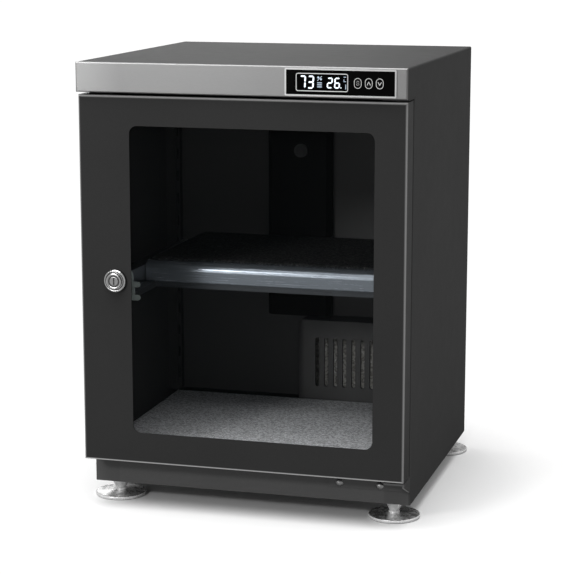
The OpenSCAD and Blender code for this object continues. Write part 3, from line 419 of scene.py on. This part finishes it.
DOOR = paint("paint_door", 0.028, 0.3, specular=0.1, low_rim_highlight=0.98, top_rim_highlight=0.6)
BODY = paint("paint_body", 0.047, 0.08, rough=0.6, specular=0.05, front=0.11)
HINGE = paint("paint_hinge", 0.05, 0.5, rough=0.5, specular=0.1, front=0.12)
# plinth: the body paint made paler as painted light, against the shade under the door
PLINTH = paint("paint_plinth", 0.108, 0.4, rough=0.55, grain=1.0, specular=0.1)
# interior paint kept far darker than the outer paint: painted shade inside the closed cabinet
INSIDE_SHADED = paint("paint_inside_shaded", 0.006, None, rough=0.6, specular=0.04)
FASCIA = brushed("fascia_brushed", 0.275, FASCIA_BRUSH, rough=0.36, grain=0.1, sheen_end=(-0.171, -0.12))
BEZEL = polished("bezel_metal", 0.6, rough=0.35, wear=0.05, spread=0.1)
CHROME = polished("chrome_plate", 0.86, rough=0.09)
LOCK_CHROME = ringed_chrome("lock_chrome", "lock_barrel", LOCK_R, LOCK_RING_SHADES)
FOOT = foot_chrome("foot_chrome")
ZINC = polished("cam_zinc", 0.6, rough=0.4, metal=0.4, tint=(0.88, 1.0, 0.97))
STEEL = polished("screw_steel", 0.55, rough=0.25)
TRAY = brushed("tray_metal", 0.4, SHELF_BRUSH, rough=0.22, metal=0.7, tint=(0.87, 0.98, 1.1))
RUNNER = brushed("runner_metal", 0.09, SHELF_BRUSH, rough=0.3, metal=0.5, tint=(0.89, 0.98, 1.08))
PILASTER = paint("pilaster_paint", 0.035, None)
GLOSS_BLACK = plastic("panel_gloss", 0.002, rough=0.15, grain=0.02, specular=0.02)
BLACK = plastic("black_moulded", 0.014, rough=0.5)
GREY = plastic("grey_moulded", 0.075, rough=0.55)
CAP = plastic("cap_moulded", 0.05, rough=0.55)
KEY_BLACK = plastic("key_black", 0.002, rough=0.3, grain=0.05, specular=0.03)
RUBBER = plastic("gasket_rubber", 0.012, rough=0.7, scale=800.0)
FOAM = speckled_foam("mat_foam", (0.42, 0.43, 0.445), (0.93, 0.95, 0.98))
SHELF_FOAM = speckled_foam("shelf_foam", (0.012, 0.012, 0.013), (0.05, 0.051, 0.053), fleck=0.12)
GLASS = clear_glass("window_glass")
DIGIT = lit("digit_white", (0.86, 0.93, 1.0), 0.8)
MARK = plastic("print_white", 0.75, rough=0.6, grain=0.05)
DIM_MARK = lit("mark_dim", (0.42, 0.50, 0.60), 0.5)
READOUT = plastic("readout_dark", 0.0015, rough=0.12, grain=0.01, specular=0.008)
BOARD = circuit_board("board_green")
BEADS = speckled_foam("absorber_beads", (0.25, 0.24, 0.22), (0.75, 0.74, 0.7))

NODE_MATS = {
    "side_left": BODY, "side_right": BODY, "top_rail": BODY, "plinth_panel": PLINTH, "floor_pan": INSIDE_SHADED,
    "ceiling_pan": INSIDE_SHADED, "back_panel": BODY, "base_pan": BODY, "foot_inserts": STEEL, "header_base": BODY,
    "header_cover": BODY, "fascia": FASCIA, "display_bezel": BEZEL, "display_panel": GLOSS_BLACK,
    "lcd_module": READOUT, "control_board": BOARD, "key_set": KEY_BLACK, "key_up": KEY_BLACK,
    "key_down": KEY_BLACK, "hinge_lower": HINGE, "hinge_upper": BODY, "hinge_screws": STEEL,
    "door_skin": DOOR, "door_glass": GLASS, "glass_clips": STEEL, "door_gasket": RUBBER, "door_bushes": BLACK,
    "lock_barrel": LOCK_CHROME, "lock_nut": CHROME, "lock_plug": LOCK_CHROME, "lock_cam": ZINC,
    "pilasters_left": PILASTER, "pilasters_right": PILASTER, "shelf_frame": RUNNER, "shelf_tray": TRAY,
    "duct_cover": INSIDE_SHADED, "sensor_cap": CAP, "dryer_housing": GREY, "dryer_core": BEADS, "shutter_in": BLACK,
    "shutter_out": BLACK, "rear_cover": BLACK, "rear_screws": STEEL, "dc_socket": BLACK,
}
BEVELS = {  # widths in millimetres
    "side_left": 0.35, "side_right": 0.35, "plinth_panel": 0.3, "header_cover": 0.3, "hinge_lower": 0.35,
    "shelf_frame": 0.3, "duct_cover": 0.4, "sensor_cap": 0.3, "rear_cover": 0.5, "display_bezel": 0.25,
    "lock_cam": 0.3, "fascia": 0.8, "pilasters_left": 0.25, "pilasters_right": 0.25, "hinge_upper": 0.3,
}
BEVEL_SEGMENTS = 2
BEVEL_ANGLE = math.radians(35)


def dress_nodes():
    """Gives each CAD node its material, and the listed ones a small bevel."""
    for name, obj in frame["nodes"].items():
        mat = NODE_MATS.get(name, FOOT if name.startswith("foot_") else BODY)
        obj.data.materials.clear()
        obj.data.materials.append(mat)
        if name in BEVELS:
            edges = obj.modifiers.new("edges", "BEVEL")
            edges.width = BEVELS[name] * MM
            edges.segments = BEVEL_SEGMENTS
            edges.limit_method = "ANGLE"
            edges.angle_limit = BEVEL_ANGLE


# readout and keys

PRINT_THICK = 0.06 * MM
RING_SHOULDER = 0.6  # part of a ring's thickness
LEAST_R = 0.01 * MM
CORNER_STEPS = 8
DOT_STEPS = 14
SEGMENTS = {"2": "abged", "3": "abgcd", "6": "afgedc", "7": "abc"}
SEGMENT_GAP = 0.08  # part of a segment's width
FIGURE_SLANT = 0.06

# in millimetres from the middle of the readout: the first figure's x and z, width, height, stroke and
# pitch; a dot's x, z and radius; a stroke's width and its points
FIGURES = {
    "readout_humidity": ("73", (-18.9, 0.1, 6.4, 12.4, 1.5, 7.9), ()),
    "readout_heat": ("26", (7.6, -0.3, 5.6, 10.2, 1.3, 7.1), ((18.6, -4.7, 0.55),)),
}
MARK_DOTS = ((-3.6, 4.6, 1.0), (-1.0, 3.0, 1.0))
MARK_STROKES = (
    (0.55, ((-4.4, 1.7), (-0.4, 5.6))),
    (0.9, ((-4.2, -0.4), (-0.6, -0.4))),
    (0.9, ((-4.2, -2.3), (-0.6, -2.3))),
    (0.9, ((-4.2, -4.2), (-0.6, -4.2))),
    (0.6, ((21.2, 5.4), (23.0, 5.4))),
    (0.6, ((21.2, 3.0), (21.2, 1.2), (23.0, 1.2))),
    (0.7, ((23.0, -1.8), (23.0, -5.6))),
)
FRAME_OUT, FRAME_R, FRAME_W, FRAME_THICK = mm((0.55, 2.2, 0.75, 0.1))

KEYS = ("key_set", "key_up", "key_down")
KEY_HALF_W, KEY_HALF_H, KEY_RING_W, KEY_RING_THICK, KEY_STROKE = mm((3.6, 4.9, 0.5, 0.12, 0.55))
KEY_RING_R = KEY_HALF_W - 0.02 * MM
ARROW = ((-1.5, -1.3), (0.0, 1.5), (1.5, -1.3))
BEND_W, BEND_H = mm((1.15, 0.95))
BEND_TURN = 250
BEND_STEPS = 8


def front_middle(node):
    """The middle of the front face of a node's box."""
    low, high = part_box(node)
    return (low.x + high.x) / 2, low.y, (low.z + high.z) / 2


def segment_shapes(w, h, t):
    """The seven segments of a figure of width w, height h and stroke t, as hexagons about its middle."""
    gap = t * SEGMENT_GAP

    def level(z):
        a, b = -w / 2 + t / 2 + gap, w / 2 - t / 2 - gap
        return [(a, z), (a + t / 2, z + t / 2), (b - t / 2, z + t / 2), (b, z), (b - t / 2, z - t / 2),
                (a + t / 2, z - t / 2)]

    def upright(x, z0, z1):
        a, b = z0 + gap, z1 - gap
        return [(x, a), (x + t / 2, a + t / 2), (x + t / 2, b - t / 2), (x, b), (x - t / 2, b - t / 2),
                (x - t / 2, a + t / 2)]

    top, low, side = h / 2 - t / 2, -h / 2 + t / 2, w / 2 - t / 2
    return {"a": level(top), "g": level(0), "d": level(low), "b": upright(side, 0, top),
            "c": upright(side, low, 0), "f": upright(-side, 0, top), "e": upright(-side, low, 0)}


def figures(text, x, z, w, h, t, pitch):
    """The lit segments of a row of figures; x and z are the middle of the first."""
    segments = segment_shapes(w, h, t)
    return [[(u + x + k * pitch, v + z) for u, v in segments[s]]
            for k, digit in enumerate(text) for s in SEGMENTS[digit]]


def dot(x, z, r):
    """A round shape."""
    turns = [2 * math.pi * k / DOT_STEPS for k in range(DOT_STEPS)]
    return [(x + r * math.cos(a), z + r * math.sin(a)) for a in turns]


def stroke(points, t):
    """A line of width t through the points, as one quad for each stretch."""
    quads = []
    for (x0, z0), (x1, z1) in zip(points, points[1:]):
        dx, dz = x1 - x0, z1 - z0
        length = math.hypot(dx, dz)
        ux, uz = dx / length * t / 2, dz / length * t / 2
        quads.append([(x0 - ux - uz, z0 - uz + ux), (x1 + ux - uz, z1 + uz + ux),
                      (x1 + ux + uz, z1 + uz - ux), (x0 - ux + uz, z0 - uz - ux)])
    return quads


def flat_shapes(name, shapes, at, mat, body, slant=0.0):
    """Thin raised shapes on a face that looks to the front; each is a list of (u, v) corners from at."""
    x, y, z = at
    verts, faces = [], []
    for shape in shapes:
        base, n = len(verts), len(shape)
        for depth in (0.0, PRINT_THICK):
            verts += [(x + u + slant * v, y - depth, z + v) for u, v in shape]
        faces.append([base + n + i for i in range(n)])
        faces += [[base + i, base + (i + 1) % n, base + n + (i + 1) % n, base + n + i] for i in range(n)]
    mesh = listed_mesh(name, verts, faces)
    bm = bmesh.new()
    bm.from_mesh(mesh)
    write_outward(bm, mesh)
    add_piece(name, mesh, mat, body)


def outline(half_w, half_h, r):
    """Points of a rounded rectangle about the middle."""
    points = []
    for side_x, side_z, start in ((1, 1, 0), (-1, 1, 90), (-1, -1, 180), (1, -1, 270)):
        for k in range(CORNER_STEPS + 1):
            a = math.radians(start + 90 * k / CORNER_STEPS)
            points.append((side_x * (half_w - r) + r * math.cos(a), side_z * (half_h - r) + r * math.sin(a)))
    return points


def ring(name, half_w, half_h, r, width, at, thick, body):
    """A raised rounded ring of white print, its crown slightly round."""
    x, y, z = at
    outer, mid, inner = (outline(half_w - inset, half_h - inset, max(r - inset, LEAST_R))
                         for inset in (0.0, width / 2, width))
    shoulder = thick * RING_SHOULDER
    rows = [(outer, 0.0), (outer, shoulder), (mid, thick), (inner, shoulder), (inner, 0.0)]
    n = len(outer)
    verts = [(x + u, y - depth, z + v) for points, depth in rows for u, v in points]
    faces = [[row * n + i, row * n + (i + 1) % n, (row + 1) * n + (i + 1) % n, (row + 1) * n + i]
             for row in range(len(rows) - 1) for i in range(n)]
    add_piece(name, listed_mesh(name, verts, faces), MARK, body, smooth=True)


def make_readout():
    """The figures and marks on the readout's face, and the pale frame printed round it."""
    at = front_middle("lcd_module")
    for name, (text, sizes, points) in FIGURES.items():
        shapes = figures(text, *mm(sizes)) + [dot(*mm(point)) for point in points]
        flat_shapes(name, shapes, at, DIGIT, "cabinet", FIGURE_SLANT)
    shapes = [dot(*mm(place)) for place in MARK_DOTS]
    for width, points in MARK_STROKES:
        shapes += stroke([mm(point) for point in points], width * MM)
    flat_shapes("readout_marks", shapes, at, DIM_MARK, "cabinet")
    low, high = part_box("lcd_module")
    half_w, half_h = (high.x - low.x) / 2, (high.z - low.z) / 2
    on_panel = (at[X], front_middle("display_panel")[Y], at[Z])
    ring("readout_frame", half_w + FRAME_OUT, half_h + FRAME_OUT, FRAME_R, FRAME_W, on_panel, FRAME_THICK,
         "cabinet")


def bend(start, turn, z, first=0):
    """Points of a bend that starts at the angle start, in degrees, round the height z."""
    angles = [math.radians(start + turn * k / BEND_STEPS) for k in range(first, BEND_STEPS + 1)]
    return [(BEND_W * math.cos(a), z + BEND_H * math.sin(a)) for a in angles]


def key_mark(key):
    """The line on a key: an arrow up or down, or two bends for the setting key."""
    if key == "key_set":
        return bend(20, BEND_TURN, BEND_H) + bend(90, -BEND_TURN, -BEND_H, first=1)
    way = 1 if key == "key_up" else -1
    return [mm((x, way * z)) for x, z in ARROW]


def make_keys():
    """A printed ring and a mark on each key."""
    for key in KEYS:
        at = front_middle(key)
        ring(key + "_ring", KEY_HALF_W, KEY_HALF_H, KEY_RING_R, KEY_RING_W, at, KEY_RING_THICK, key)
        flat_shapes(key + "_mark", stroke(key_mark(key), KEY_STROKE), at, MARK, key)


# foam mats

def foam_pad(name, node, mat, crown, cells):
    """A cut foam sheet: rounded soft edges, a slightly uneven top, and a flat underside."""
    edge_most, edge_share, edge_fall, waves, wave_seed = 0.0035, 0.7, 0.55, 34, 0.4
    low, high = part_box(node)
    size = high - low
    nx, ny = cells
    edge = min(edge_most, size.z * edge_share)
    bm = bmesh.new()
    top = {}
    for i in range(nx + 1):
        for j in range(ny + 1):
            x = low.x + size.x * i / nx
            y = low.y + size.y * j / ny
            inset = min(x - low.x, high.x - x, y - low.y, high.y - y)
            fall = max(0.0, 1 - inset / edge)
            drop = size.z * edge_fall * (1 - math.sqrt(max(0.0, 1 - fall * fall)))
            lift = crown * (noise.noise(Vector((x * waves, y * waves, wave_seed))) * 0.5 - 0.5)
            top[i, j] = bm.verts.new((x, y, min(high.z + lift - drop, high.z)))
    rim = [(i, 0) for i in range(nx)] + [(nx, j) for j in range(ny)]
    rim += [(i, ny) for i in range(nx, 0, -1)] + [(0, j) for j in range(ny, 0, -1)]
    base = {at: bm.verts.new((top[at].co.x, top[at].co.y, low.z)) for at in rim}
    for i in range(nx):
        for j in range(ny):
            bm.faces.new((top[i, j], top[i + 1, j], top[i + 1, j + 1], top[i, j + 1]))
    for a, b in zip(rim, rim[1:] + rim[:1]):
        bm.faces.new((base[a], base[b], top[b], top[a]))
    bm.faces.new([base[at] for at in reversed(rim)])
    mesh = bpy.data.meshes.new(name)
    write_outward(bm, mesh)
    pad = add_piece(name, mesh, mat, frame["nodes"][node]["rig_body"], smooth=True)
    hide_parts(node)


# stage, lights and camera

def make_stage():
    """A pale round floor that fades out into the white surround; bounced light sees it darker."""
    bm = bmesh.new()
    bmesh.ops.create_circle(bm, cap_ends=True, segments=FLOOR_STEPS, radius=FLOOR_R)
    mesh = bpy.data.meshes.new("floor")
    bm.to_mesh(mesh)
    bm.free()
    floor = bpy.data.objects.new("floor", mesh)
    scene.collection.objects.link(floor)
    m = Mat("floor_plain", 0.9, specular=0.0)
    seen = m.nodes.new("ShaderNodeLightPath").outputs["Is Camera Ray"]
    reach = m.nodes.new("ShaderNodeVectorMath")
    reach.operation = "LENGTH"
    m.put(m.coords["Object"], reach.inputs[0])
    away = reach.outputs["Value"]
    near = m.math("MAXIMUM", m.math("SUBTRACT", 1.0, seen), m.span(away, FLOOR_FADE, FALL))
    m.set("Base Color", m.mix(seen, FLOOR_BOUNCE, FLOOR_SEEN))
    m.set("Alpha", m.math("MULTIPLY", m.span(away, FLOOR_EDGE, FALL), near))
    mesh.materials.append(m.mat)


def make_world():
    """An even white world, brighter where the camera sees it than as a light."""
    world = bpy.data.worlds.new("studio")
    world.use_nodes = True
    tree = world.node_tree
    tree.nodes.clear()
    out = tree.nodes.new("ShaderNodeOutputWorld")
    both = tree.nodes.new("ShaderNodeMixShader")
    seen = tree.nodes.new("ShaderNodeLightPath")
    tree.links.new(seen.outputs["Is Camera Ray"], both.inputs[0])
    for socket, strength in ((both.inputs[1], WORLD_FILL), (both.inputs[2], WORLD_BACK)):
        shade = tree.nodes.new("ShaderNodeBackground")
        shade.inputs["Color"].default_value = (*WHITE, 1.0)
        shade.inputs["Strength"].default_value = strength
        tree.links.new(shade.outputs[0], socket)
    tree.links.new(both.outputs[0], out.inputs[0])
    scene.world = world


def add_light(name, kind, power, turn, place=(0.0, 0.0, 0.0)):
    """A light that is turned and placed; gives back its data."""
    data = bpy.data.lights.new(name, kind)
    data.energy = power
    obj = bpy.data.objects.new(name, data)
    scene.collection.objects.link(obj)
    obj.location = place
    obj.rotation_mode = "QUATERNION"
    obj.rotation_quaternion = turn
    return data


def make_lights():
    """A wide soft sun and four light boxes."""
    sun = add_light("sun_top", "SUN", SUN_POWER, Vector(SUN_TOWARD).to_track_quat("Z", "Y"))
    sun.angle = math.radians(SUN_SPREAD)
    for name, (place, target, size, power) in LIGHT_BOXES.items():
        aim = Vector(target) - Vector(place)
        box = add_light(name, "AREA", power, aim.to_track_quat("-Z", "Y"), place)
        box.shape = "RECTANGLE"
        box.size, box.size_y = size


def make_camera():
    """The photograph's camera, upright and without shift."""
    data = bpy.data.cameras.new("camera")
    cam = bpy.data.objects.new("camera", data)
    scene.collection.objects.link(cam)
    data.sensor_fit = "AUTO"
    data.sensor_width = SENSOR
    data.lens = CAM_FOCAL_PX * SENSOR / LONG_SIDE_PX
    data.clip_start, data.clip_end = CLIP_NEAR, CLIP_FAR
    right = Vector((math.cos(CAM_YAW), math.sin(CAM_YAW), 0.0))
    level = math.cos(CAM_PITCH)
    ahead = Vector((-math.sin(CAM_YAW) * level, math.cos(CAM_YAW) * level, -math.sin(CAM_PITCH)))
    turn = Matrix((right, right.cross(ahead), -ahead)).transposed()
    cam.matrix_world = Matrix.Translation(CAM_PLACE) @ turn.to_4x4()
    scene.camera = cam


def set_colours():
    """Shows colours without a film look."""
    scene.view_settings.view_transform = "Standard"
    scene.view_settings.look = "None"


set_colours()
make_camera()
make_world()
make_lights()
make_stage()
dress_nodes()
make_readout()
make_keys()
foam_pad("mat_floor", "floor_mat", FOAM, 0.5 * MM, (150, 110))
foam_pad("mat_shelf", "shelf_mat", SHELF_FOAM, 0.3 * MM, (120, 80))
